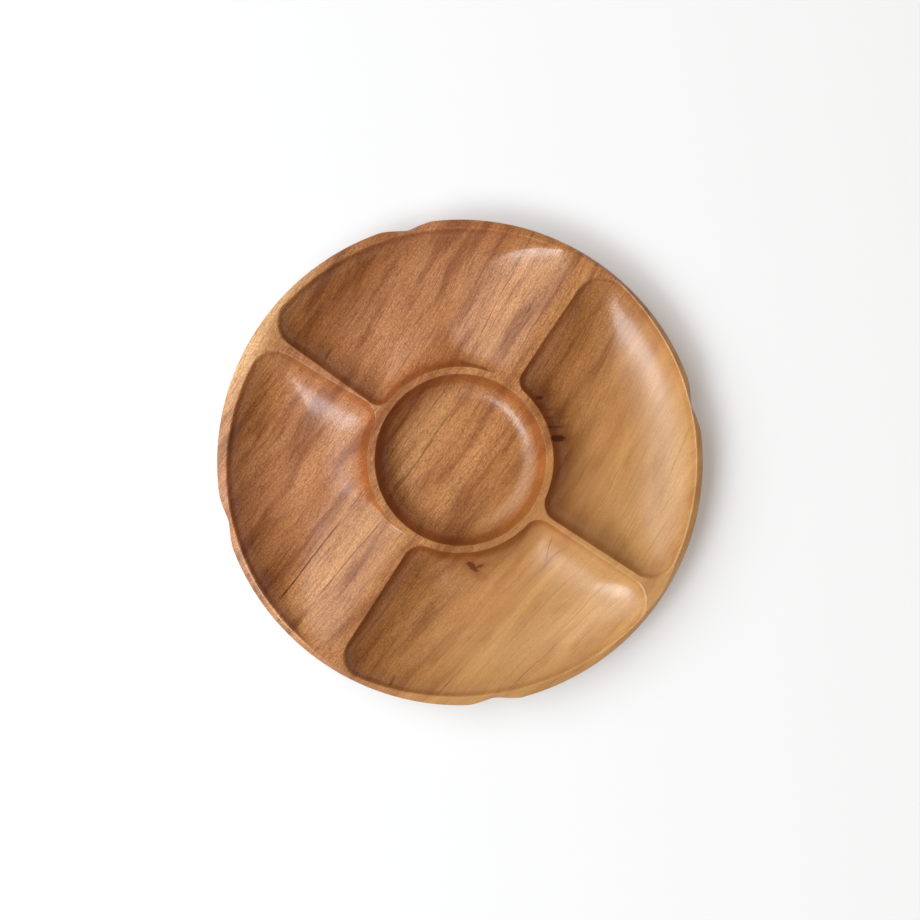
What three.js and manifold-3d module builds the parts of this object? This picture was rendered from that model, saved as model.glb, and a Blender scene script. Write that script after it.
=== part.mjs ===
// A round chip and dip tray, carved from a blank of boards that are glued edge to edge along the grain.
// Four chip wells lie between four ribs round a dip well, and the rim has four shallow notches.
// Millimetres, +Z up, +X along the grain, with the origin at the middle of the flat base.

import * as THREE from 'three';
import { mergeVertices } from 'three/addons/utils/BufferGeometryUtils.js';
import Module from 'manifold-3d';

// Outside of the tray
const TRAY_DIAMETER = 305;
const TRAY_HEIGHT = 25;
const RIM_OVERHANG = 36; // how far the rim reaches out past the flat base
const BELLY_RISE = 5; // how far the underside climbs from the base before it turns up into the side
const RIM_FALL = 2; // how far the rim's rounded outer edge falls from the flat beside the wells
const RIM_FLAT = 0.5; // width of that flat
const RIM_BLEND = 0.12; // share of a quarter turn over which the flat passes from one well to the next
const NOTCH_WIDTH = 34; // along the rim
const NOTCH_ROUND = 0.5; // least width of the rounded edge at the bottom of a notch
const NOTCH_BLUNT = 0.15; // roundness of a notch's bottom, as a share of its half width
const NOTCH_HOLLOW = 1.25; // over 1, a notch's sides curve in

// Each notch's direction in degrees and its depth
const NOTCHES = [
  { turn: 46, depth: 3.2 },
  { turn: 137.5, depth: 2.6 },
  { turn: 221.5, depth: 3.2 },
  { turn: 317, depth: 2.5 },
];

// Carving
const CARVING_SHIFT_X = 0.4; // the carving sits a little off the middle of the blank
const CARVING_SHIFT_Y = -0.6;
const RIM_WIDTH = 5.5; // from the tray's edge to the wells
const EDGE_EASE = 0.5; // sanded edge round every well
const WELL_DEPTH = 18;
const RIM_COVE = 42; // how far a well's curved side reaches in from the rim
const RING_COVE = 30; // and from the ring
const COVE_SHARE = 0.85; // most of the way from ring to rim that the two curved sides may take together
const FLOOR_CORNER = 10; // radius that the wells' corners come to at the floor
const CORNER_SHARE = 0.85; // most of the way from ring to rim that two corners may take together
const DIP_DIAMETER = 106.5;
const DIP_DEPTH = 16;
const DIP_COVE = 16;
const DIP_SHIFT_X = 1.2; // the dip well sits a little off the middle of the ribs
const DIP_SHIFT_Y = 1.2;
const RING_WALL = 5.7; // between the dip well and the chip wells
const RIB_END = 16; // distance from the ring, and from the rim, at which a rib's two widths are measured

// Forms of the curved sides: 1 is an upright quarter ellipse and 2 is a shallow dish
const RIM_DISH = 1.4;
const RING_DISH = 1;
const RIB_DISH = 1.2;
const DIP_DISH = 1;
const SOFT_SIDE = 0; // a side without an edge, which falls away in one soft sweep

// Each rib's direction in degrees and its width at the ring's end and at the rim's end
const RIBS = [
  { turn: 0, innerWidth: 3.6, outerWidth: 5.2 },
  { turn: 90, innerWidth: 2.2, outerWidth: 7 },
  { turn: 180, innerWidth: 5.4, outerWidth: 6.2 },
  { turn: 270, innerWidth: 3.8, outerWidth: 4.4 },
];

// The well that follows each rib: what the rim gains in width at the well's start, middle and end, then the
// corner radii and the reach and form of the sides, first beside that rib and then beside the next one
const WELLS = [
  { land: [0, 0.4, -0.5], rim: [14, 16], ring: [14, 8], reach: [56, 38], form: [SOFT_SIDE, RIB_DISH] },
  { land: [2.1, -0.4, -1.4], rim: [15.5, 11.5], ring: [12, 3], reach: [36, 58], form: [RIB_DISH, SOFT_SIDE] },
  { land: [-1.1, 0.8, -0.9], rim: [14, 17], ring: [12, 10.5], reach: [36, 46], form: [RIB_DISH, RIB_DISH] },
  { land: [-0.2, -0.4, -1.9], rim: [15.5, 17], ring: [12, 9], reach: [32, 38], form: [RIB_DISH, RIB_DISH] },
];
const LAND_TURNS = [15, 45, 75]; // degrees past the rib at which the rim's width is measured

// Boards of the blank
const STAVE_WIDTH = 61;
const GLUE_LINE = 0.2;
const FRONT_WOOD = new THREE.Color('#c58f58');
const BACK_WOOD = new THREE.Color('#99603c');
const GLUE_COLOUR = '#7d5230';
const WOOD_ROUGHNESS = 0.45;
const GLUE_ROUGHNESS = 0.5;

// Fineness of the faceted surfaces
const PLAIN_STEPS = 6; // round the rim from a notch to the axis of the next rib
const NOTCH_STEPS = 8;
const BELLY_STEPS = 6;
const ROUND_STEPS = 4;
const RIM_ARC_STEPS = 9;
const RING_ARC_STEPS = 7;
const CORNER_STEPS = 4;
const DIP_STEPS = 44;
const COVE_STEPS = 7;

const CUT_OVER = 1; // how far a cut runs on past the surface that it opens

// Places that follow from the sizes
const TRAY_RADIUS = TRAY_DIAMETER / 2;
const RIM_EDGE = TRAY_RADIUS - RIM_WIDTH;
const RING_EDGE = DIP_DIAMETER / 2 + RING_WALL;
const WELL_SPAN = RIM_EDGE - RING_EDGE;
const DIP_CENTRE = new THREE.Vector2(DIP_SHIFT_X, DIP_SHIFT_Y);
const TRAY_CENTRE = new THREE.Vector2(0, 0);
const CARVING_SHIFT = new THREE.Vector2(CARVING_SHIFT_X, CARVING_SHIFT_Y);
const QUARTER = 90; // degrees from one rib to the next

const wasm = await Module();
wasm.setup();

function solidFrom(geometry) {
  const merged = mergeVertices(geometry);
  return new wasm.Manifold(new wasm.Mesh({
    numProp: 3,
    vertProperties: merged.attributes.position.array,
    triVerts: Uint32Array.from(merged.index.array),
  }));
}

// A closed body through level outlines with equal numbers of points, from the lowest to the highest, each
// counter-clockwise seen from above.
function loft(levels) {
  const count = levels[0].outline.length;
  const positions = levels.flatMap(({ outline, z }) => outline.flatMap((point) => [point.x, point.y, z]));
  const index = [];
  for (let level = 0; level < levels.length - 1; level += 1) {
    for (let i = 0; i < count; i += 1) {
      const here = level * count + i;
      const next = level * count + ((i + 1) % count);
      index.push(here, next, next + count, here, next + count, here + count);
    }
  }
  const top = (levels.length - 1) * count;
  for (const [a, b, c] of THREE.ShapeUtils.triangulateShape(levels[0].outline, [])) {
    index.push(c, b, a);
  }
  for (const [a, b, c] of THREE.ShapeUtils.triangulateShape(levels.at(-1).outline, [])) {
    index.push(top + a, top + b, top + c);
  }
  const geometry = new THREE.BufferGeometry();
  geometry.setAttribute('position', new THREE.Float32BufferAttribute(positions, 3));
  geometry.setIndex(index);
  return solidFrom(geometry);
}

function arcPoints(centre, radius, from, to, steps, clockwise = false) {
  return new THREE.EllipseCurve(centre.x, centre.y, radius, radius, from, to, clockwise).getPoints(steps);
}

function directionOf(turn) {
  const angle = THREE.MathUtils.degToRad(turn);
  return new THREE.Vector2(Math.cos(angle), Math.sin(angle));
}

// The blank: a flat base, a belly that sweeps out to the side, and a rounded rim with four notches

function notchBite(share) {
  const rise = (along) => Math.hypot(along, NOTCH_BLUNT) - NOTCH_BLUNT;
  return Math.max(0, 1 - rise(share) / rise(1)) ** NOTCH_HOLLOW;
}

// Directions round the rim, each with its notch and how much of that notch's depth it has
function rimAngles() {
  const half = NOTCH_WIDTH / TRAY_DIAMETER;
  const angles = [];
  NOTCHES.forEach(({ turn }, place) => {
    const notch = THREE.MathUtils.degToRad(turn);
    const axis = THREE.MathUtils.degToRad(RIBS[place].turn + QUARTER);
    const next = NOTCHES[(place + 1) % NOTCHES.length].turn;
    const ahead = THREE.MathUtils.degToRad(next > turn ? next : next + 4 * QUARTER);
    for (let i = 0; i < NOTCH_STEPS; i += 1) {
      const share = (2 * i) / NOTCH_STEPS - 1;
      angles.push({ angle: notch + share * half, place, bite: notchBite(share) });
    }
    for (const [start, end] of [[notch + half, axis], [axis, ahead - half]]) {
      for (let i = 0; i < PLAIN_STEPS; i += 1) {
        angles.push({ angle: THREE.MathUtils.lerp(start, end, i / PLAIN_STEPS), place, bite: 0 });
      }
    }
  });
  return angles;
}

// How far from the middle of the blank a well's edge lies in a given direction
function wellReach(direction, place) {
  const { centre, radius } = rimCircle(place);
  const middle = centre.clone().add(CARVING_SHIFT);
  const nearest = direction.dot(middle);
  return nearest + Math.sqrt(radius ** 2 - middle.lengthSq() + nearest ** 2);
}

// Where the rim's rounded outer edge starts: just outside the wells, passing smoothly from one to the next
function flatReach(direction) {
  const quarters = THREE.MathUtils.radToDeg(direction.angle()) / QUARTER;
  const place = Math.floor(quarters) % WELLS.length;
  const past = quarters - Math.floor(quarters);
  const neighbour = (past < 0.5 ? place + WELLS.length - 1 : place + 1) % WELLS.length;
  const weight = 0.5 + 0.5 * THREE.MathUtils.smoothstep(Math.min(past, 1 - past), 0, RIM_BLEND);
  const reach = THREE.MathUtils.lerp(wellReach(direction, neighbour), wellReach(direction, place), weight);
  return reach + EDGE_EASE + RIM_FLAT;
}

function makeBlank() {
  const sideTop = TRAY_HEIGHT - RIM_FALL;
  const belly = new THREE.QuadraticBezierCurve(
    new THREE.Vector2(TRAY_RADIUS - RIM_OVERHANG, 0),
    new THREE.Vector2(TRAY_RADIUS, BELLY_RISE),
    new THREE.Vector2(TRAY_RADIUS, sideTop),
  ).getPoints(BELLY_STEPS);
  const rim = rimAngles().map(({ angle, place, bite }) => {
    const direction = new THREE.Vector2(Math.cos(angle), Math.sin(angle));
    const notch = NOTCHES[place].depth * bite;
    const side = TRAY_RADIUS - notch;
    const flat = Math.min(flatReach(direction), side - NOTCH_ROUND);
    return { direction, notch, side, flat };
  });
  const levels = belly.map((point) => ({
    z: point.y,
    outline: rim.map(({ direction, notch }) => {
      return direction.clone().multiplyScalar(point.x - (notch * point.y) / sideTop);
    }),
  }));
  for (let i = 1; i <= ROUND_STEPS; i += 1) {
    const angle = (Math.PI / 2) * (i / ROUND_STEPS);
    const inward = 1 - Math.cos(angle);
    levels.push({
      z: sideTop + RIM_FALL * Math.sin(angle),
      outline: rim.map(({ direction, side, flat }) => {
        return direction.clone().multiplyScalar(THREE.MathUtils.lerp(side, flat, inward));
      }),
    });
  }
  return loft(levels);
}

// Levels at which a hollow's outline is drawn, from its floor to its edge and on past the sanded edge. Each
// has the share of the depth that its curved sides have come down by, and the inset of the sanded edge.
function carvingLevels(depth, dish) {
  const levels = [];
  for (let i = COVE_STEPS; i > 0; i -= 1) {
    const share = Math.sin((Math.PI / 2) * (i / COVE_STEPS)) ** dish;
    levels.push({ z: TRAY_HEIGHT - depth * share, share, edge: 0 });
  }
  levels.push({ z: TRAY_HEIGHT - EDGE_EASE, share: 0, edge: 0 });
  levels.push({ z: TRAY_HEIGHT + CUT_OVER, share: 0, edge: -EDGE_EASE - CUT_OVER });
  return levels;
}

// How far a curved side has come in from its edge, where it has come down by this share of its depth
function coveInset(share, cove, dish) {
  if (dish === SOFT_SIDE) {
    return (cove * Math.acos(1 - 2 * share)) / Math.PI;
  }
  return cove * (1 - Math.sqrt(1 - share ** (2 / dish)));
}

function circleThrough(a, b, c) {
  const ab = b.clone().sub(a);
  const ac = c.clone().sub(a);
  const turn = 2 * ab.cross(ac);
  const out = new THREE.Vector2(
    (ac.y * ab.lengthSq() - ab.y * ac.lengthSq()) / turn,
    (ab.x * ac.lengthSq() - ac.x * ab.lengthSq()) / turn,
  );
  return { centre: a.clone().add(out), radius: out.length() };
}

// The circle that a well's edge follows along the rim
function rimCircle(place) {
  const points = LAND_TURNS.map((past, i) => {
    const direction = directionOf(RIBS[place].turn + past);
    return direction.multiplyScalar(RIM_EDGE - WELLS[place].land[i]);
  });
  return circleThrough(...points);
}

// The straight edge of a rib on its counter-clockwise side (+1) or its clockwise side (-1). The normal
// points into the well on that side.
function ribEdge(rib, side) {
  const along = directionOf(rib.turn);
  const across = directionOf(rib.turn + QUARTER * side);
  const inner = along.clone().multiplyScalar(RING_EDGE + RIB_END);
  inner.addScaledVector(across, rib.innerWidth / 2);
  const outer = along.clone().multiplyScalar(RIM_EDGE - RIB_END);
  outer.addScaledVector(across, rib.outerWidth / 2);
  const run = outer.sub(inner).normalize();
  const normal = run.clone().rotateAround(TRAY_CENTRE, (side * Math.PI) / 2);
  return { run, normal, offset: normal.dot(inner) };
}

// Centre of a corner of this radius that touches a rib's edge, at a given reach from a circle's centre
function cornerCentre(edge, inset, radius, circleCentre, reach) {
  const lift = edge.offset + inset + radius;
  const aside = lift - edge.normal.dot(circleCentre);
  const slide = edge.run.dot(circleCentre) + Math.sqrt(reach ** 2 - aside ** 2);
  return edge.normal.clone().multiplyScalar(lift).addScaledVector(edge.run, slide);
}

// A chip well's outline at one level: rib, rim, next rib, ring
function wellOutline(place, share, edgeInset) {
  const well = WELLS[place];
  const rim = rimCircle(place);
  const coveFit = Math.min(1, (COVE_SHARE * WELL_SPAN) / (RIM_COVE + RING_COVE));
  const rimRadius = rim.radius - edgeInset - coveInset(share, RIM_COVE * coveFit, RIM_DISH);
  const ringRadius = RING_EDGE + edgeInset + coveInset(share, RING_COVE * coveFit, RING_DISH);
  const gap = rimRadius - ringRadius - rim.centre.distanceTo(DIP_CENTRE);
  const edges = [ribEdge(RIBS[place], 1), ribEdge(RIBS[(place + 1) % RIBS.length], -1)];
  const ends = edges.map((edge, i) => {
    const inset = edgeInset + coveInset(share, well.reach[i], well.form[i]);
    const grown = Math.max(0, inset) / well.reach[i];
    const atTop = [well.rim[i], well.ring[i]];
    const wanted = atTop.map((radius) => THREE.MathUtils.lerp(radius, FLOOR_CORNER, grown));
    const fit = Math.min(1, (CORNER_SHARE * gap) / (wanted[0] + wanted[1]));
    const [rimCorner, ringCorner] = wanted.map((radius) => radius * fit);
    return {
      rimCorner,
      ringCorner,
      wall: edge.normal.clone().negate().angle(),
      atRim: cornerCentre(edge, inset, rimCorner, rim.centre, rimRadius - rimCorner),
      atRing: cornerCentre(edge, inset, ringCorner, DIP_CENTRE, ringRadius + ringCorner),
    };
  });
  const [first, last] = ends;
  const outOf = ends.map((end) => end.atRim.clone().sub(rim.centre).angle());
  const offRing = ends.map((end) => end.atRing.clone().sub(DIP_CENTRE).angle());
  const toRing = ends.map((end) => DIP_CENTRE.clone().sub(end.atRing).angle());
  return [
    ...arcPoints(first.atRim, first.rimCorner, first.wall, outOf[0], CORNER_STEPS).slice(0, -1),
    ...arcPoints(rim.centre, rimRadius, outOf[0], outOf[1], RIM_ARC_STEPS),
    ...arcPoints(last.atRim, last.rimCorner, outOf[1], last.wall, CORNER_STEPS).slice(1),
    ...arcPoints(last.atRing, last.ringCorner, last.wall, toRing[1], CORNER_STEPS).slice(0, -1),
    ...arcPoints(DIP_CENTRE, ringRadius, offRing[1], offRing[0], RING_ARC_STEPS, true),
    ...arcPoints(first.atRing, first.ringCorner, toRing[0], first.wall, CORNER_STEPS).slice(1),
  ];
}

function makeWell(place) {
  const levels = carvingLevels(WELL_DEPTH, RIB_DISH);
  return loft(levels.map(({ z, share, edge }) => ({ z, outline: wellOutline(place, share, edge) })));
}

function makeDip() {
  const levels = carvingLevels(DIP_DEPTH, DIP_DISH).map(({ z, share, edge }) => {
    const radius = DIP_DIAMETER / 2 - edge - coveInset(share, DIP_COVE, DIP_DISH);
    return { z, outline: arcPoints(DIP_CENTRE, radius, 0, 2 * Math.PI, DIP_STEPS).slice(1) };
  });
  return loft(levels);
}

function makeTray() {
  const hollows = [...RIBS.map((rib, place) => makeWell(place)), makeDip()];
  const shift = [CARVING_SHIFT.x, CARVING_SHIFT.y, 0];
  return hollows.reduce((rest, hollow) => rest.subtract(hollow.translate(shift)), makeBlank());
}

// Boards and glue films, from front (-Y) to back: the middle board lies along the grain under two ribs

function jointLines() {
  const perSide = Math.max(1, Math.round((TRAY_RADIUS - STAVE_WIDTH / 2) / STAVE_WIDTH));
  const lines = [];
  for (let i = -perSide; i < perSide; i += 1) {
    lines.push(STAVE_WIDTH * (i + 0.5));
  }
  return lines;
}

function slice(tray, front, back) {
  const reach = TRAY_RADIUS + CUT_OVER;
  const outline = [[-reach, front], [reach, front], [reach, back], [-reach, back]]
    .map(([x, y]) => new THREE.Vector2(x, y));
  return tray.intersect(loft([{ z: -CUT_OVER, outline }, { z: TRAY_HEIGHT + CUT_OVER, outline }]));
}

function piece(name, solid, material) {
  const { vertProperties, triVerts } = solid.getMesh();
  const geometry = new THREE.BufferGeometry();
  geometry.setAttribute('position', new THREE.BufferAttribute(vertProperties, 3));
  geometry.setIndex(new THREE.BufferAttribute(triVerts, 1));
  geometry.computeVertexNormals();
  const mesh = new THREE.Mesh(geometry, material);
  mesh.name = name;
  return mesh;
}

function assemble() {
  const group = new THREE.Group();
  const tray = makeTray();
  const reach = TRAY_RADIUS + CUT_OVER;
  const joints = jointLines();
  const fronts = [-reach, ...joints.map((line) => line + GLUE_LINE / 2)];
  const backs = [...joints.map((line) => line - GLUE_LINE / 2), reach];
  fronts.forEach((front, i) => {
    const color = FRONT_WOOD.clone().lerp(BACK_WOOD, i / (fronts.length - 1));
    const wood = new THREE.MeshStandardMaterial({ color, roughness: WOOD_ROUGHNESS, metalness: 0 });
    group.add(piece(`stave_${i + 1}`, slice(tray, front, backs[i]), wood));
  });
  joints.forEach((line, i) => {
    const glue = new THREE.MeshStandardMaterial({
      color: GLUE_COLOUR,
      roughness: GLUE_ROUGHNESS,
      metalness: 0,
    });
    const film = slice(tray, line - GLUE_LINE / 2, line + GLUE_LINE / 2);
    group.add(piece(`glue_line_${i + 1}`, film, glue));
  });
  return group;
}

export default assemble();
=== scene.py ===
# A round chip and dip tray of oiled hardwood, carved from five boards that are glued edge to edge: four chip
# wells between four ribs, a dip well in the middle, and four notches in the rim.
# The parts in model.glb give the tray's size and the places of its glue lines. Lengths in this file are
# millimetres until a mesh is made, +X runs along the grain, and +Z is up.

import functools
import math

import bmesh
import bpy
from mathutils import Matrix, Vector
from mathutils.geometry import tessellate_polygon


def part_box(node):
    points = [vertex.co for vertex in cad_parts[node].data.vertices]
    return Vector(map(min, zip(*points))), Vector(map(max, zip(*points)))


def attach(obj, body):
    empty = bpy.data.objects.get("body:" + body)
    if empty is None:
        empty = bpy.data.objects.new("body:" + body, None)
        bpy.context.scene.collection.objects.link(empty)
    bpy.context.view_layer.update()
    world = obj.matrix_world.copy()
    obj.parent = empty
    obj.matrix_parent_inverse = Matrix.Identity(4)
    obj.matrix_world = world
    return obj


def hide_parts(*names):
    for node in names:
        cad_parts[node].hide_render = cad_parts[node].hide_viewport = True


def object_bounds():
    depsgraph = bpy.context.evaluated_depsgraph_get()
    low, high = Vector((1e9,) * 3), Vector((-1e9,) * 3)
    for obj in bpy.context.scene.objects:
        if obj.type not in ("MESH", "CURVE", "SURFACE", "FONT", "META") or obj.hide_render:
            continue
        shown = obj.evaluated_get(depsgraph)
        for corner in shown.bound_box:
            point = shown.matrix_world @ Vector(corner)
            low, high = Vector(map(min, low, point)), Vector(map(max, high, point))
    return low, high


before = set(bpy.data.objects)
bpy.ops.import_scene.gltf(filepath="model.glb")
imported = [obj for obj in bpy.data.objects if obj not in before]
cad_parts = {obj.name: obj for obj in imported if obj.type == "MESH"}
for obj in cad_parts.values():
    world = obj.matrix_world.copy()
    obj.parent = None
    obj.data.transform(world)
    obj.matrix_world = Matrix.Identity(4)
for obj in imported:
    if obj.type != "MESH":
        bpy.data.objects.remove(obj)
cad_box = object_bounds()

MM = 0.001  # metres in a millimetre

# Outside of the tray
TRAY_RADIUS = (cad_box[1].x - cad_box[0].x) / 2 / MM
TRAY_HEIGHT = cad_box[1].z / MM
RIM_OVERHANG = 36
BELLY_RISE = 5
RIM_FALL = 2  # how far the rim's rounded outer edge falls from the flat beside the wells
RIM_CROWN = 1.2  # form of that edge: 1 is a straight slope, and more is rounder
RIM_FLAT = 0.2  # width of the flat
RIM_BLEND = 0.12  # share of a quarter turn on each side of a rib where one well's curve passes to the next
NOTCH_WIDTH = 34
NOTCH_ROUND = 0.5  # least width of the rounded edge at the bottom of a notch
NOTCH_BLUNT = 0.15  # roundness of a notch's bottom, as a share of its half width
NOTCH_HOLLOW = 1.25  # over 1, a notch's sides curve in
NOTCHES = (  # direction in degrees, depth
    (46, 3.2),
    (137.5, 2.6),
    (221.5, 3.2),
    (317, 2.5),
)

# Carving
CARVING_SHIFT = Vector((0.4, -0.6))  # the carving sits a little off the middle of the blank
RIM_WIDTH = 5.5
EDGE_EASE = 0.75
WELL_DEPTH = 18
RIM_COVE = (42, 1.4)  # width of the curved side, then its form: 1 is an upright ellipse, 2 a shallow dish
RING_COVE = (30, 1)
RIB_DISH = 1.2
SOFT_SIDE = 0  # form of a side that has no edge and falls away in one soft sweep
FLOOR_CORNER = 10  # radius that the wells' corners come to at the floor
CORNER_SHARE = 0.85  # most of the way from ring to rim that two corners may take together
DIP_RADIUS = 53.25
DIP_DEPTH = 16
DIP_COVE = (16, 1)
DIP_CENTRE = Vector((1.2, 1.2))
RING_WALL = 5.7
RIB_END = 16
RIBS = (  # direction in degrees, width near the ring, width near the rim
    (0, 3.6, 5.2),
    (90, 2.2, 7),
    (180, 5.4, 6.2),
    (270, 3.8, 4.4),
)
# Of a well: the rim's extra width at its start, middle and end, the corner radii at rim and ring, and the
# reach and form of its sides at the two ribs
WELLS = (
    ((0, 0.4, -0.5), (14, 16), (14, 8), ((56, SOFT_SIDE), (38, RIB_DISH))),
    ((2.1, -0.4, -1.4), (15.5, 11.5), (12, 3), ((36, RIB_DISH), (58, SOFT_SIDE))),
    ((-1.1, 0.8, -0.9), (14, 17), (12, 10.5), ((36, RIB_DISH), (46, RIB_DISH))),
    ((-0.2, -0.4, -1.9), (15.5, 17), (12, 9), ((32, RIB_DISH), (38, RIB_DISH))),
)
LAND_TURNS = (15, 45, 75)  # degrees past a rib at which the rim's extra width is measured
GLUE_LINES = sorted(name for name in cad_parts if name.startswith("glue_line"))

# Fineness of the surfaces
NOTCH_STEPS = 24
PLAIN_STEPS = 32  # from a notch to the next rib's axis
BELLY_STEPS = 22
ROUND_STEPS = 10
EASE_STEPS = 6
EASE_SAMPLES = 60
INSET_HALVINGS = 30
COVE_STEPS = 26
CORNER_STEPS = 12
RIM_ARC_STEPS = 72
RING_ARC_STEPS = 44
RIB_STEPS = 18
DIP_STEPS = 192
FLAT_EDGE = 0.1  # narrow flat border that keeps the shading of a rounded edge off the flat beside it
CUT_TOLERANCE = 1e-6

RIM_EDGE = TRAY_RADIUS - RIM_WIDTH
RING_EDGE = DIP_RADIUS + RING_WALL


def heading(turn):
    angle = math.radians(turn)
    return Vector((math.cos(angle), math.sin(angle)))


def bearing(vector):
    return math.atan2(vector.y, vector.x)


def arc(centre, radius, start, end, steps, clockwise=False):
    sweep = (end - start) % math.tau
    if clockwise:
        sweep -= math.tau
    angles = [start + sweep * i / steps for i in range(steps + 1)]
    return [centre + radius * Vector((math.cos(a), math.sin(a))) for a in angles]


def between(first, last, steps):
    return [first.lerp(last, i / steps) for i in range(1, steps)]


def circle_through(a, b, c):
    ab = b - a
    ac = c - a
    turn = 2 * (ab.x * ac.y - ab.y * ac.x)
    out = Vector((
        (ac.y * ab.length_squared - ab.y * ac.length_squared) / turn,
        (ab.x * ac.length_squared - ac.x * ab.length_squared) / turn,
    ))
    return a + out, out.length


def rim_circle(place):
    points = [
        heading(90 * place + turn) * (RIM_EDGE - extra) for turn, extra in zip(LAND_TURNS, WELLS[place][0])
    ]
    return circle_through(*points)


def rib_edge(rib, side):
    turn, inner_width, outer_width = rib
    along = heading(turn)
    across = heading(turn + 90 * side)
    inner = along * (RING_EDGE + RIB_END) + across * (inner_width / 2)
    outer = along * (RIM_EDGE - RIB_END) + across * (outer_width / 2)
    run = (outer - inner).normalized()
    normal = Vector((-run.y, run.x)) * side
    return run, normal, normal.dot(inner)


def corner_centre(edge, inset, radius, centre, reach):
    run, normal, offset = edge
    lift = offset + inset + radius
    aside = lift - normal.dot(centre)
    return normal * lift + run * (run.dot(centre) + math.sqrt(reach**2 - aside**2))


def well_outline(place, drop):
    """Outline of a chip well where its sides have come down by a given drop from the land."""
    _, rim_corners, ring_corners, rib_coves = WELLS[place]
    rim_centre, rim_radius = rim_circle(place)
    rim_radius -= inset_at(drop, WELL_DEPTH, *RIM_COVE)
    ring_radius = RING_EDGE + inset_at(drop, WELL_DEPTH, *RING_COVE)
    ribs = (RIBS[place], RIBS[(place + 1) % len(RIBS)])
    gap = rim_radius - ring_radius - (rim_centre - DIP_CENTRE).length
    wall, at_rim, at_ring, rim_turns, ring_turns = [], [], [], [], []
    for k, side in enumerate((1, -1)):
        edge = rib_edge(ribs[k], side)
        inset = inset_at(drop, WELL_DEPTH, *rib_coves[k])
        share = max(0, inset) / rib_coves[k][0]
        rim_turn = rim_corners[k] + (FLOOR_CORNER - rim_corners[k]) * share
        ring_turn = ring_corners[k] + (FLOOR_CORNER - ring_corners[k]) * share
        fit = min(1, CORNER_SHARE * gap / (rim_turn + ring_turn))
        rim_turns.append(rim_turn * fit)
        ring_turns.append(ring_turn * fit)
        wall.append(bearing(-edge[1]))
        at_rim.append(corner_centre(edge, inset, rim_turns[k], rim_centre, rim_radius - rim_turns[k]))
        at_ring.append(corner_centre(edge, inset, ring_turns[k], DIP_CENTRE, ring_radius + ring_turns[k]))
    out_of = [bearing(c - rim_centre) for c in at_rim]
    off_ring = [bearing(c - DIP_CENTRE) for c in at_ring]
    to_ring = [bearing(DIP_CENTRE - c) for c in at_ring]
    outer = [
        *arc(at_rim[0], rim_turns[0], wall[0], out_of[0], CORNER_STEPS)[:-1],
        *arc(rim_centre, rim_radius, out_of[0], out_of[1], RIM_ARC_STEPS),
        *arc(at_rim[1], rim_turns[1], out_of[1], wall[1], CORNER_STEPS)[1:],
    ]
    inner = [
        *arc(at_ring[1], ring_turns[1], wall[1], to_ring[1], CORNER_STEPS)[:-1],
        *arc(DIP_CENTRE, ring_radius, off_ring[1], off_ring[0], RING_ARC_STEPS, clockwise=True),
        *arc(at_ring[0], ring_turns[0], to_ring[0], wall[0], CORNER_STEPS)[1:],
    ]
    return [
        *outer,
        *between(outer[-1], inner[0], RIB_STEPS),
        *inner,
        *between(inner[-1], outer[0], RIB_STEPS),
    ]


def dip_outline(drop):
    radius = DIP_RADIUS - inset_at(drop, DIP_DEPTH, *DIP_COVE)
    return arc(DIP_CENTRE, radius, 0, math.tau * (1 - 1 / DIP_STEPS), DIP_STEPS - 1)


def carving_drop(inset, depth, cove, dish):
    """How far a carved side lies under the land at an inset from its edge, with the edge eased."""
    spread = EDGE_EASE if inset < 2 * EDGE_EASE else 0
    total = 0
    for k in range(EASE_SAMPLES):
        near = inset + spread * (2 * (k + 0.5) / EASE_SAMPLES - 1)
        across = min(1, max(0, near / cove))
        if dish == SOFT_SIDE:
            total += (1 - math.cos(math.pi * across)) / 2
        else:
            total += (1 - (1 - across) ** 2) ** (dish / 2)
    return depth * total / EASE_SAMPLES


@functools.cache
def inset_at(drop, depth, cove, dish):
    """The inset at which a carved side has come down by a given drop."""
    if drop <= 0:
        return -EDGE_EASE + drop
    low = -EDGE_EASE
    high = cove
    for _ in range(INSET_HALVINGS):
        middle = (low + high) / 2
        if carving_drop(middle, depth, cove, dish) < drop:
            low = middle
        else:
            high = middle
    return high


def carving_drops(depth, cove, dish):
    """Drops of the levels of a hollow, from the narrow flat border on the land to the floor."""
    insets = [EDGE_EASE * (2 * i / EASE_STEPS - 1) for i in range(EASE_STEPS)]
    start = math.acos(1 - EDGE_EASE / cove)
    for i in range(COVE_STEPS + 1):
        insets.append(cove * (1 - math.cos(start + (math.pi / 2 - start) * i / COVE_STEPS)))
    return [-FLAT_EDGE, *(carving_drop(inset, depth, cove, dish) for inset in insets)]


def notch_bite(share):
    slope = (math.hypot(share, NOTCH_BLUNT) - NOTCH_BLUNT) / (math.hypot(1, NOTCH_BLUNT) - NOTCH_BLUNT)
    return max(0, 1 - slope) ** NOTCH_HOLLOW


def rim_angles():
    """Directions round the rim, each with the notch it is in and how much of that notch's depth it has."""
    half = NOTCH_WIDTH / (2 * TRAY_RADIUS)
    angles = []
    for place, (turn, _) in enumerate(NOTCHES):
        notch = math.radians(turn)
        axis = math.radians(90 * (place + 1))
        ahead = math.radians(NOTCHES[(place + 1) % len(NOTCHES)][0])
        if ahead < notch:
            ahead += math.tau
        for i in range(NOTCH_STEPS):
            share = 2 * i / NOTCH_STEPS - 1
            angles.append((notch + share * half, place, notch_bite(share)))
        for start, end in ((notch + half, axis), (axis, ahead - half)):
            for i in range(PLAIN_STEPS):
                angles.append((start + (end - start) * i / PLAIN_STEPS, place, 0))
    return angles


def well_reach(direction, place):
    """How far from the middle of the blank a well's edge lies in a given direction."""
    centre, radius = rim_circle(place)
    centre = centre + CARVING_SHIFT
    nearest = direction.dot(centre)
    return nearest + math.sqrt(radius**2 - centre.length_squared + nearest**2)


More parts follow.
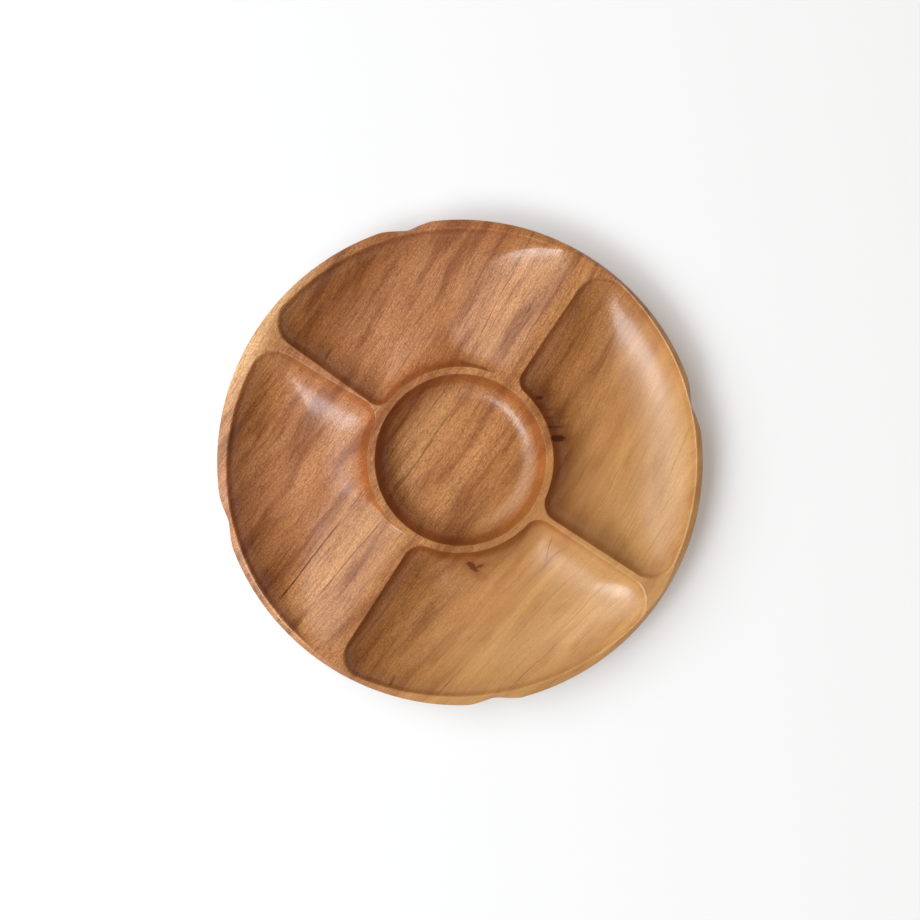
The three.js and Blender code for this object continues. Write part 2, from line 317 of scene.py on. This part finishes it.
def flat_reach(angle):
    """Where the rim's outer edge starts: just outside the wells, passing smoothly from one to the next."""
    direction = Vector((math.cos(angle), math.sin(angle)))
    quarters = angle / (math.pi / 2)
    place = math.floor(quarters)
    past = quarters - place
    neighbour = place - 1 if past < 0.5 else place + 1
    share = min(1, min(past, 1 - past) / RIM_BLEND)
    weight = 0.5 + 0.5 * share * share * (3 - 2 * share)
    count = len(WELLS)
    own = well_reach(direction, place % count)
    other = well_reach(direction, neighbour % count)
    return own * weight + other * (1 - weight) + EDGE_EASE + RIM_FLAT


def blank_levels():
    """Outlines of the outside from the flat base to the top of the rim, with their heights."""
    side_top = TRAY_HEIGHT - RIM_FALL
    start = Vector((TRAY_RADIUS - RIM_OVERHANG, 0))
    turn = Vector((TRAY_RADIUS, BELLY_RISE))
    end = Vector((TRAY_RADIUS, side_top))
    rim = []
    for angle, place, bite in rim_angles():
        direction = Vector((math.cos(angle), math.sin(angle)))
        notch = NOTCHES[place][1] * bite
        rim.append((direction, notch, min(flat_reach(angle), TRAY_RADIUS - notch - NOTCH_ROUND)))
    levels = [([direction * (start.x - FLAT_EDGE) for direction, _, _ in rim], 0)]
    for i in range(BELLY_STEPS + 1):
        t = i / BELLY_STEPS
        point = start * (1 - t) ** 2 + turn * (2 * t * (1 - t)) + end * t**2
        share = point.y / side_top
        levels.append(([direction * (point.x - notch * share) for direction, notch, _ in rim], point.y))
    for i in range(1, ROUND_STEPS + 1):
        inward = i / ROUND_STEPS
        outline = []
        for direction, notch, flat in rim:
            side = TRAY_RADIUS - notch
            outline.append(direction * (side + (flat - side) * inward))
        levels.append((outline, TRAY_HEIGHT - RIM_FALL * (1 - inward) ** RIM_CROWN))
    levels.append(([direction * (flat - FLAT_EDGE) for direction, _, flat in rim], TRAY_HEIGHT))
    return levels


class TrayMesh:
    """The whole tray's surface, gathered level by level, with the flat loops' normals kept apart."""

    def __init__(self):
        self.points = []
        self.faces = []
        self.flats = {}

    def add_loop(self, outline, height, flat=None, shift=Vector((0, 0))):
        first = len(self.points)
        self.points.extend(Vector((p.x + shift.x, p.y + shift.y, height)) for p in outline)
        loop = list(range(first, len(self.points)))
        if flat:
            self.flats.update({i: flat for i in loop})
        return loop

    def skin(self, lower, upper):
        """Faces between two loops that run counter-clockwise, seen from outside with the lower loop below."""
        count = len(lower)
        for i in range(count):
            j = (i + 1) % count
            self.faces.append((lower[i], lower[j], upper[j], upper[i]))

    def fill(self, loops, upward):
        order = [i for loop in loops for i in loop]
        for triangle in tessellate_polygon([[self.points[i] for i in loop] for loop in loops]):
            a, b, c = (order[i] for i in triangle)
            turn = (self.points[b] - self.points[a]).cross(self.points[c] - self.points[a]).z
            self.faces.append((a, b, c) if (turn > 0) == upward else (c, b, a))

    def normals(self):
        """Angle-weighted normals of the points, straight up or down on the flats."""
        mesh = bpy.data.meshes.new("tray_surface")
        mesh.from_pydata([p * MM for p in self.points], [], self.faces)
        mesh.update()
        normals = [Vector(n.vector) for n in mesh.vertex_normals]
        bpy.data.meshes.remove(mesh)
        for i, flat in self.flats.items():
            normals[i] = Vector(flat)
        return normals


def carved_tray():
    up = (0, 0, 1)
    down = (0, 0, -1)
    tray = TrayMesh()
    levels = blank_levels()
    loops = []
    for i, (outline, height) in enumerate(levels):
        flat = down if i == 0 else up if i == len(levels) - 1 else None
        loops.append(tray.add_loop(outline, height, flat))
    for lower, upper in zip(loops, loops[1:]):
        tray.skin(lower, upper)
    tray.fill([loops[0]], upward=False)
    land = [loops[-1]]
    well_drops = carving_drops(WELL_DEPTH, RIM_COVE[0], RIB_DISH)
    hollows = [(well_drops, functools.partial(well_outline, place)) for place in range(len(WELLS))]
    hollows.append((carving_drops(DIP_DEPTH, *DIP_COVE), dip_outline))
    for drops, outline_at in hollows:
        carved = []
        for drop in drops:
            flat = up if drop in (drops[0], drops[-1]) else None
            carved.append(tray.add_loop(outline_at(drop), TRAY_HEIGHT - max(0, drop), flat, CARVING_SHIFT))
        for upper, lower in zip(carved, carved[1:]):
            tray.skin(upper, lower)
        tray.fill([carved[-1]], upward=True)
        land.append(carved[0])
    tray.fill(land, upward=True)
    return tray


def cut_piece(name, tray, normals, front, back):
    """The part of the tray between two upright planes along the grain, closed where it is cut."""
    surface = bmesh.new()
    layer = surface.verts.layers.float_vector.new("shading")
    verts = []
    for point, normal in zip(tray.points, normals):
        vert = surface.verts.new(point)
        vert[layer] = normal
        verts.append(vert)
    for face in tray.faces:
        surface.faces.new([verts[i] for i in face])
    caps = []
    for y, keep in ((front, 1), (back, -1)):
        if abs(y) >= TRAY_RADIUS:
            continue
        geometry = [*surface.verts, *surface.edges, *surface.faces]
        cut = bmesh.ops.bisect_plane(
            surface,
            geom=geometry,
            dist=CUT_TOLERANCE,
            plane_co=(0, y, 0),
            plane_no=(0, keep, 0),
            clear_inner=True,
        )
        edges = [e for e in cut["geom_cut"] if isinstance(e, bmesh.types.BMEdge) and e.is_boundary]
        filled = bmesh.ops.triangle_fill(surface, edges=edges, normal=(0, -keep, 0))
        caps.extend(f for f in filled["geom"] if isinstance(f, bmesh.types.BMFace))
    for face in surface.faces:
        face.smooth = True
    cap_set = set(caps)
    for face in caps:
        face.smooth = False
    bmesh.ops.scale(surface, vec=(MM, MM, MM), verts=surface.verts)
    bmesh.ops.recalc_face_normals(surface, faces=surface.faces)
    shading = []
    for face in surface.faces:
        flat = face in cap_set
        shading.extend(face.normal.copy() if flat else loop.vert[layer].copy() for loop in face.loops)
    mesh = bpy.data.meshes.new(name)
    surface.to_mesh(mesh)
    surface.free()
    mesh.attributes.remove(mesh.attributes["shading"])
    mesh.normals_split_custom_set([n.normalized() for n in shading])
    piece = bpy.data.objects.new(name, mesh)
    bpy.context.scene.collection.objects.link(piece)
    return piece


class Grain:
    """One socket in a finish, with the arithmetic that adds its Math nodes."""

    def __init__(self, finish, socket):
        self.finish = finish
        self.socket = socket

    def math(self, operation, first, second):
        return self.finish.node("ShaderNodeMath", {"operation": operation}, {0: first, 1: second})

    def __add__(self, other):
        return self.math("ADD", self, other)

    __radd__ = __add__

    def __sub__(self, other):
        return self.math("SUBTRACT", self, other)

    def __rsub__(self, other):
        return self.math("SUBTRACT", other, self)

    def __mul__(self, other):
        return self.math("MULTIPLY", self, other)

    __rmul__ = __mul__

    def __truediv__(self, other):
        return self.math("DIVIDE", self, other)

    def __pow__(self, power):
        return self.math("POWER", self, power)

    def __abs__(self):
        return self.math("ABSOLUTE", self, 0)


class Finish:
    """A material, or the room round the tray, and its node tree."""

    def __init__(self, name, kind="materials"):
        self.material = getattr(bpy.data, kind).new(name)
        self.material.use_nodes = True
        self.tree = self.material.node_tree
        self.tree.nodes.clear()

    def node(self, kind, settings=None, sockets=None, out=0):
        made = self.tree.nodes.new(kind)
        for name, value in (settings or {}).items():
            if name == "stops":
                ramp = made.color_ramp
                while len(ramp.elements) < len(value):
                    ramp.elements.new(1)
                for element, (position, colour) in zip(ramp.elements, value):
                    element.position = position
                    element.color = (*colour, 1)
            else:
                setattr(made, name, value)
        for name, value in (sockets or {}).items():
            if isinstance(value, Grain):
                self.tree.links.new(value.socket, made.inputs[name])
            else:
                made.inputs[name].default_value = value
        return Grain(self, made.outputs[out]) if made.outputs else None

    def place(self):
        """Where a point lies on the tray, in millimetres: along the grain, across it and up."""
        where = self.node("ShaderNodeTexCoord", out="Object")
        split = self.node("ShaderNodeSeparateXYZ", sockets={0: where})
        outputs = split.socket.node.outputs
        return [Grain(self, outputs[axis]) * (1 / MM) for axis in ("X", "Y", "Z")]

    def level(self):
        """1 where the surface lies flat, and 0 where it stands upright."""
        upright = self.node("ShaderNodeTexCoord", out="Normal")
        split = self.node("ShaderNodeSeparateXYZ", sockets={0: upright})
        return abs(Grain(self, split.socket.node.outputs["Z"]))

    def noise(self, x, y, z, detail, roughness):
        where = self.node("ShaderNodeCombineXYZ", sockets={0: x, 1: y, 2: z})
        sockets = {"Vector": where, "Scale": 1, "Detail": detail, "Roughness": roughness}
        return self.node("ShaderNodeTexNoise", {"noise_dimensions": "3D"}, sockets)

    def figure(self, size, along, across, depth, detail=2, roughness=0.5):
        """Marks of a given length along the grain and width across it."""
        return self.noise(along / size[0], across / size[1], depth, detail, roughness)

    def step(self, value, low, high):
        """0 below low and 1 above high, with a soft step between; low may be the larger."""
        sockets = {"Value": value, "From Min": low, "From Max": high, "To Min": 0, "To Max": 1}
        return self.node("ShaderNodeMapRange", {"interpolation_type": "SMOOTHSTEP"}, sockets)

    def larger(self, first, second):
        return self.node("ShaderNodeMath", {"operation": "MAXIMUM"}, {0: first, 1: second})

    def blend(self, factor, first, second, mode="MIX"):
        settings = {"data_type": "RGBA", "blend_type": mode, "clamp_factor": True}
        return self.node("ShaderNodeMix", settings, {0: factor, 6: first, 7: second}, out=2)


def colour(red, green, blue):
    return (red, green, blue, 1)


# Wood: colours as light returned from the surface, red, green and blue
WOOD_ZONES = (  # millimetres across the grain, colour of the ground there
    (-150, (0.58, 0.306, 0.112)),
    (-105, (0.56, 0.290, 0.102)),
    (-73, (0.53, 0.250, 0.084)),
    (-42, (0.44, 0.192, 0.058)),
    (-18, (0.44, 0.182, 0.055)),
    (-6, (0.52, 0.228, 0.079)),
    (10, (0.50, 0.212, 0.071)),
    (28, (0.585, 0.276, 0.102)),
    (50, (0.45, 0.178, 0.058)),
    (75, (0.53, 0.228, 0.092)),
    (95, (0.50, 0.212, 0.086)),
    (120, (0.37, 0.138, 0.042)),
    (138, (0.41, 0.165, 0.052)),
    (152, (0.62, 0.315, 0.115)),
)
ZONE_REACH = 160  # the zones are laid out over this far on both sides of the middle
STREAK_BROWN = colour(0.62, 0.50, 0.42)  # what a dark streak leaves of the ground's colour
STREAK_PALE = colour(1.22, 1.28, 1.32)
STREAK_GOLDEN = colour(1.38, 1.55, 1.75)
PORE_BROWN = colour(0.50, 0.38, 0.30)
FLECK_PALE = colour(1.28, 1.34, 1.38)
VEIN_BROWN = colour(0.13, 0.038, 0.008)
KNOT_BROWN = colour(0.130, 0.029, 0.005)
KNOT_RED = colour(0.33, 0.100, 0.026)
GLUE_TINT = colour(0.86, 0.82, 0.78)
# painted shade: the brown that darkens the steep sides
PAINTED_SHADE_BROWN = colour(0.80, 0.58, 0.36)
PAINTED_SHADE_LEVELS = (0.93, 0.55)  # levels between which a side takes the painted shade
PAINTED_SHADE_REACH = (95, 66)  # distances from the middle between which steep sides take the most painted shade
GOLDEN_ZONE = (98, 116)  # millimetres across the grain where the golden streak sets in
GOLDEN_END = (15, -25)  # where it sets in along the grain
LIVELY = (-75, -12)  # from the quiet figure of the pale front to the lively one
OIL_ROUGHNESS = 0.36
OIL_COAT = 0.5
COAT_ROUGHNESS = 0.24
GRAIN_RELIEF = 0.00015  # metres
GRAIN_STRENGTH = 0.4

# Run of the grain
GRAIN_BOW = (9, 25)  # how far it bows, and how much more it does at the front
BOW_FRONT = -110
BOW_MIDDLE = 25
BOW_REACH = 165
GROWTH_LEAN = 0.12  # how far the growth layers lean aside for each millimetre of height

# Marks in the wood: length along the grain, width across it
WANDER = (130, 60)
RIPPLE = (34, 13)
DRIFT = (90, 14)
CLOUD = (26, 11)
BAND = (80, 11)
STREAK = (95, 2.3)
THREAD = (70, 0.8)
FIBRE = (15, 0.6)
GRIT = (1.4, 0.7)
PORE = (3.2, 0.5)
PORE_PATCH = (40, 12)
KNOT_RAG = (2.2, 1.6)
VEIN_GAP = (7, 1.2)

VEINS = (  # dark lines in the grain: start, end, half width and strength
    ((-139, 48.2), (-68, 42.5), 0.95, 1),
    ((-70, 42.7), (-44, 41), 0.7, 0.8),
    ((-142, 57), (-95, 57.6), 0.4, 0.6),
    ((-142, 61), (-90, 60), 0.35, 0.5),
    ((-123, 29), (-52, 20.5), 0.6, 0.75),
    ((-128, 36), (-84, 33), 0.35, 0.45),
    ((-140, 21), (-104, 18), 0.35, 0.4),
    ((58, 32), (152, 41), 0.5, 0.6),
    ((88, 30), (140, 33), 0.35, 0.45),
    ((70, 7), (151, 9.5), 0.45, 0.6),
    ((66, 47), (118, 53), 0.5, 0.5),
    ((-41, 24), (45, 22), 0.5, 0.65),
    ((-43, 12), (14, 11), 0.4, 0.5),
    ((-20, 33), (30, 34), 0.35, 0.4),
    ((-45, -12), (0, -11), 0.4, 0.45),
    ((-14, -27), (24, -26), 0.4, 0.5),
    ((10, 122), (84, 119), 0.45, 0.5),
    ((16, 113), (70, 110), 0.35, 0.4),
    ((6, 106.6), (17, 107.4), 1.0, 0.8),
    ((-134, -67), (-103, -74), 0.5, 0.65),
    ((-143, -39.5), (-134, -39), 1.1, 0.8),
    ((-118, -17), (-72, -21), 0.5, 0.45),
    ((-105, -103), (-55, -116), 0.45, 0.45),
    ((60, -117), (102, -108), 0.45, 0.4),
    ((-25, -80.5), (-3, -73), 0.5, 0.65),
    ((66, 12.5), (77, 13.5), 0.5, 0.6),
    ((-60, -52), (-12, -61), 0.4, 0.4),
)
VEIN_FADE = 9  # millimetres over which a dark line fades out at its ends
VEIN_CORE = 0.25  # share of its half width that is darkest

KNOTS = (  # hearts of the knots and the dark strokes round them: middle, direction, half sizes, darkness
    ((46.5, -43.2), -56, (5.4, 2.5), 1),
    ((50.9, -37), -55, (5.4, 0.9), 0.7),
    ((54.6, -31.8), -52, (4.4, 0.7), 0.4),
    ((57.8, -27.6), -52, (3.8, 0.6), 0.35),
    ((61.8, -19.7), -49, (2.8, 1.5), 0.85),
    ((-51, -42.5), 80, (4.8, 1.9), 0.95),
    ((-50.5, -43.4), 59, (4, 1.4), 0.9),
    ((-48.6, -46.4), -35, (3.2, 1.1), 0.8),
)


def knot_distance(x, y, knot):
    """1 on the rim of a knot's heart, less inside it and more outside."""
    (middle_x, middle_y), turn, (half_length, half_width), _ = knot
    run = heading(turn)
    east = x - middle_x
    north = y - middle_y
    along = (east * run.x + north * run.y) / half_length
    across = (north * run.x - east * run.y) / half_width
    return (along * along + across * across) ** 0.5


def vein_mask(finish, x, y, broken):
    mask = 0.0
    for (start_x, start_y), (end_x, end_y), half_width, strength in VEINS:
        fall = (end_y - start_y) / (end_x - start_x)
        aside = abs(y - start_y - (x - start_x) * fall)
        line = finish.step(aside, half_width, VEIN_CORE * half_width) * strength
        fade = min(VEIN_FADE, (end_x - start_x) / 3)
        line = line * finish.step(x, start_x, start_x + fade) * finish.step(x, end_x, end_x - fade)
        mask = finish.larger(mask, line)
    return mask * broken


def wood_ground(finish):
    """Colour of the wood with painted shade on its steep sides, and the masks of its pores, fibres and knots.
    """
    x, y, z = finish.place()
    # the grain bows across the tray, more towards the front, wanders, and parts round the knots
    bow = GRAIN_BOW[0] + GRAIN_BOW[1] * finish.step(y, 0, BOW_FRONT)
    bend = (x - BOW_MIDDLE) / BOW_REACH
    wander = finish.figure(WANDER, x, y, z / WANDER[1], 1)
    ripple = finish.figure(RIPPLE, x, y, z / RIPPLE[1])
    v = y - bow * bend * bend + 9 * (wander - 0.5) + 4.5 * (ripple - 0.5)
    halo = 0.0
    heart = 0.0
    ragged = finish.figure(KNOT_RAG, x, y, z / KNOT_RAG[1], 3, 0.6)
    for knot in KNOTS:
        away = knot_distance(x, y, knot) + 1.3 * (ragged - 0.5)
        v = v + finish.step(away, 3.5, 0) * (y - knot[0][1]) * -0.3
        core = finish.step(away, 1.1, 0.7) * knot[3]
        halo = finish.larger(halo, finish.step(away, 3.4, 0.6))
        heart = finish.larger(heart, core)
    growth = v + GROWTH_LEAN * z
    drift = 10 * (finish.figure(DRIFT, x, growth, 2.7) - 0.5)
    stops = [((across + ZONE_REACH) / (2 * ZONE_REACH), shade) for across, shade in WOOD_ZONES]
    zone = (growth + drift + ZONE_REACH) / (2 * ZONE_REACH)
    ground = finish.node("ShaderNodeValToRGB", {"stops": stops}, {0: zone})
    golden = finish.step(growth, *GOLDEN_ZONE) * finish.step(x, *GOLDEN_END)
    ground = finish.blend(golden, ground, STREAK_GOLDEN, "MULTIPLY")
    # quieter, cloudier figure towards the pale front
    lively = 0.25 + 0.75 * finish.step(y, *LIVELY)
    cloud = finish.figure(CLOUD, x, growth, 9.1)
    band = finish.figure(BAND, x, growth, 0.0)
    streak = finish.figure(STREAK, x, growth, 7.3)
    thread = finish.figure(THREAD, x, growth, 3.1)
    fibre = finish.figure(FIBRE, x, growth, z / 3, 3, 0.65)
    grit = finish.figure(GRIT, x, growth, 4.6 + z / 0.9, 1)
    dark = 0.85 * finish.step(band, 0.5, 0.34) + 0.22 * finish.step(streak, 0.46, 0.34)
    dark = dark * lively + 0.22 * finish.step(cloud, 0.48, 0.34)
    dark = dark + (0.35 + 0.35 * lively) * finish.step(thread, 0.39, 0.32)
    pale = 0.6 * finish.step(band, 0.52, 0.66) + 0.2 * finish.step(streak, 0.55, 0.72)
    ground = finish.blend(dark, ground, STREAK_BROWN, "MULTIPLY")
    ground = finish.blend(pale, ground, STREAK_PALE, "MULTIPLY")
    coarse = 0.4 + 0.6 * finish.step(finish.figure(PORE_PATCH, x, growth, 5.5, 1), 0.42, 0.6)
    pore = finish.step(finish.figure(PORE, x, growth, z / 0.9, 1), 0.56, 0.7) * coarse * lively
    ground = finish.blend(0.75 * lively * finish.step(fibre, 0.52, 0.34), ground, STREAK_BROWN, "MULTIPLY")
    ground = finish.blend(0.85 * pore, ground, PORE_BROWN, "MULTIPLY")
    ground = finish.blend(0.55 * lively * finish.step(grit, 0.48, 0.34), ground, STREAK_BROWN, "MULTIPLY")
    ground = finish.blend(0.85 * lively * finish.step(grit, 0.52, 0.68), ground, FLECK_PALE, "MULTIPLY")
    broken = 0.55 + 0.45 * finish.step(finish.figure(VEIN_GAP, x, y, 8.8), 0.36, 0.56)
    straying = y + 2.2 * (ripple - 0.5)
    ground = finish.blend(vein_mask(finish, x, straying, broken), ground, VEIN_BROWN)
    # painted shade: steep sides are darkened and browned, most of all round the dip well
    inward = finish.step((x * x + y * y) ** 0.5, *PAINTED_SHADE_REACH)
    painted_shade = finish.step(finish.level(), *PAINTED_SHADE_LEVELS) * (0.3 + 0.7 * inward)
    ground = finish.blend(painted_shade, ground, PAINTED_SHADE_BROWN, "MULTIPLY")
    ground = finish.blend(0.75 * halo, ground, KNOT_RED)
    ground = finish.blend(heart, ground, KNOT_BROWN)
    return ground, pore, fibre, heart


def oiled_wood(name):
    finish = Finish(name)
    ground, pore, fibre, heart = wood_ground(finish)
    rough = OIL_ROUGHNESS + 0.12 * (fibre - 0.5) + 0.14 * pore + 0.4 * heart
    bump = finish.node(
        "ShaderNodeBump",
        sockets={"Strength": GRAIN_STRENGTH, "Distance": GRAIN_RELIEF, "Height": 0.6 * fibre - pore},
    )
    shader = finish.node(
        "ShaderNodeBsdfPrincipled",
        sockets={
            "Base Color": ground,
            "Roughness": rough,
            "Specular IOR Level": 0.5,
            "Normal": bump,
            "Coat Weight": OIL_COAT - OIL_COAT * heart,
            "Coat Roughness": COAT_ROUGHNESS,
        },
    )
    finish.node("ShaderNodeOutputMaterial", sockets={0: shader})
    return finish.material


def glue_film(name):
    """Dried glue that took the oil with the wood: the same tone, a little darker and without open pores."""
    finish = Finish(name)
    ground, _, fibre, _ = wood_ground(finish)
    tinted = finish.blend(1.0, ground, GLUE_TINT, "MULTIPLY")
    shader = finish.node(
        "ShaderNodeBsdfPrincipled",
        sockets={"Base Color": tinted, "Roughness": OIL_ROUGHNESS + 0.1 * fibre},
    )
    finish.node("ShaderNodeOutputMaterial", sockets={0: shader})
    return finish.material


# Surroundings, in metres where nothing else is said
FLOOR_REACH = 18
FLOOR_GREY = colour(0.68, 0.68, 0.68)
FLOOR_LIFT = colour(0.27, 0.27, 0.27)  # brightness that the floor shows in its shadows too
FLOOR_FADE = (600, 2600)  # millimetres from the middle between which the floor passes to plain white
WHITE = colour(1, 1, 1)
BACKDROP_HEIGHT = 5
BACKDROP_STEPS = 64
FLOOR_DROP = 0.0002  # keeps the floor just under the flat base
CAMERA_LENS = 75  # millimetres
CAMERA_SENSOR = 36  # millimetres
FRAME_WIDTH = 0.5767  # across the picture at the height of the rim
CAMERA_OVER = (0.00129, 0.00082)  # the point of the tray under the middle of the picture
CAMERA_TURN = -56.8  # degrees
LAMPS = (  # name, direction in degrees, height in degrees, distance, sizes, watts, whether the oil mirrors it
    ("window", 163, 48, 4, (2.3, 1.9), 68, True),
    ("bright_wall", 112, 48, 4, (5.4, 4.4), 160, False),
)
ROOM_LIGHT = 0.2
ROOM_COLOUR = colour(1, 0.62, 0.35)
LAMP_COLOUR = (1, 1.095, 1.16)


def seen_directly(finish):
    """1 for the eye, a reflection or a view through glass, and 0 for light that falls on the tray."""
    path = finish.node("ShaderNodeLightPath")
    outputs = path.socket.node.outputs
    names = ("Is Camera Ray", "Is Glossy Ray", "Is Transmission Ray")
    eye, mirrored, through = (Grain(finish, outputs[name]) for name in names)
    return finish.node("ShaderNodeMath", {"operation": "MINIMUM"}, {0: eye + mirrored + through, 1: 1})


def pale_floor(name):
    finish = Finish(name)
    white = finish.node("ShaderNodeBsdfDiffuse", sockets={"Color": FLOOR_GREY})
    x, y, _ = finish.place()
    far = finish.step((x * x + y * y) ** 0.5, *FLOOR_FADE)
    shade = finish.blend(far, FLOOR_LIFT, WHITE)
    lift = finish.node("ShaderNodeEmission", sockets={"Color": shade, "Strength": 1})
    bright = finish.node("ShaderNodeAddShader", sockets={0: white, 1: lift})
    shown = finish.node("ShaderNodeMixShader", sockets={0: seen_directly(finish), 1: white, 2: bright})
    clear = finish.node("ShaderNodeBsdfTransparent")
    below = finish.node("ShaderNodeNewGeometry", out="Backfacing")
    surface = finish.node("ShaderNodeMixShader", sockets={0: below, 1: shown, 2: clear})
    finish.node("ShaderNodeOutputMaterial", sockets={0: surface})
    return finish.material


def pale_backdrop(name):
    finish = Finish(name)
    clear = finish.node("ShaderNodeBsdfTransparent")
    white = finish.node("ShaderNodeEmission", sockets={"Color": WHITE, "Strength": 1})
    surface = finish.node("ShaderNodeMixShader", sockets={0: seen_directly(finish), 1: clear, 2: white})
    finish.node("ShaderNodeOutputMaterial", sockets={0: surface})
    return finish.material


def make_floor():
    edge = arc(Vector((0, 0)), FLOOR_REACH, 0, math.tau * (1 - 1 / BACKDROP_STEPS), BACKDROP_STEPS - 1)
    mesh = bpy.data.meshes.new("floor")
    mesh.from_pydata([(p.x, p.y, -FLOOR_DROP) for p in edge], [], [range(BACKDROP_STEPS)])
    mesh.materials.append(pale_floor("pale_floor"))
    floor = bpy.data.objects.new("floor", mesh)
    bpy.context.scene.collection.objects.link(floor)
    walls = bpy.data.meshes.new("backdrop")
    corners = [(p.x, p.y, z) for z in (-FLOOR_DROP, BACKDROP_HEIGHT) for p in edge]
    panels = []
    for i in range(BACKDROP_STEPS):
        j = (i + 1) % BACKDROP_STEPS
        panels.append((i, j, j + BACKDROP_STEPS, i + BACKDROP_STEPS))
    walls.from_pydata(corners, [], panels)
    walls.materials.append(pale_backdrop("pale_backdrop"))
    backdrop = bpy.data.objects.new("backdrop", walls)
    bpy.context.scene.collection.objects.link(backdrop)


def make_lights():
    for name, turn, rise, distance, sizes, watts, shines in LAMPS:
        lamp = bpy.data.lights.new(name, "AREA")
        lamp.shape = "ELLIPSE"
        lamp.size, lamp.size_y = sizes
        lamp.energy = watts
        lamp.color = LAMP_COLOUR
        holder = bpy.data.objects.new(name, lamp)
        flat = heading(turn) * math.cos(math.radians(rise))
        toward = Vector((flat.x, flat.y, math.sin(math.radians(rise))))
        holder.location = toward * distance
        holder.rotation_mode = "QUATERNION"
        holder.rotation_quaternion = toward.to_track_quat("Z", "Y")
        holder.visible_glossy = shines
        bpy.context.scene.collection.objects.link(holder)


def make_room():
    room = Finish("room", "worlds")
    fill = room.node("ShaderNodeBackground", sockets={"Color": ROOM_COLOUR, "Strength": ROOM_LIGHT})
    white = room.node("ShaderNodeBackground", sockets={"Color": WHITE, "Strength": 1})
    # white in a view from under the clear side of the floor
    under = room.step(room.node("ShaderNodeLightPath", out="Transparent Depth"), 0, 1)
    shown = room.node("ShaderNodeMixShader", sockets={0: seen_directly(room) * under, 1: fill, 2: white})
    room.node("ShaderNodeOutputWorld", sockets={0: shown})
    bpy.context.scene.world = room.material


def make_camera():
    lens = bpy.data.cameras.new("camera")
    lens.lens = CAMERA_LENS
    lens.sensor_width = CAMERA_SENSOR
    camera = bpy.data.objects.new("camera", lens)
    rise = FRAME_WIDTH * CAMERA_LENS / CAMERA_SENSOR
    camera.location = (*CAMERA_OVER, TRAY_HEIGHT * MM + rise)
    camera.rotation_euler = (0, 0, math.radians(CAMERA_TURN))
    bpy.context.scene.collection.objects.link(camera)
    bpy.context.scene.camera = camera


def dress(piece, node, finish):
    piece.data.materials.append(finish)
    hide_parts(node)
    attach(piece, "root")


def build_tray():
    tray = carved_tray()
    normals = tray.normals()
    wood = oiled_wood("oiled_wood")
    glue = glue_film("glue_film")
    joints = [tuple(corner.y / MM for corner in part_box(name)) for name in GLUE_LINES]
    reach = 2 * TRAY_RADIUS
    fronts = [-reach, *(back for _, back in joints)]
    backs = [*(front for front, _ in joints), reach]
    for i, (front, back) in enumerate(zip(fronts, backs), 1):
        dress(cut_piece(f"carved_board_{i}", tray, normals, front, back), f"stave_{i}", wood)
    for i, (front, back) in enumerate(joints, 1):
        dress(cut_piece(f"glue_seam_{i}", tray, normals, front, back), f"glue_line_{i}", glue)


build_tray()
make_floor()
make_lights()
make_room()
make_camera()
bpy.context.scene.view_settings.view_transform = "Standard"
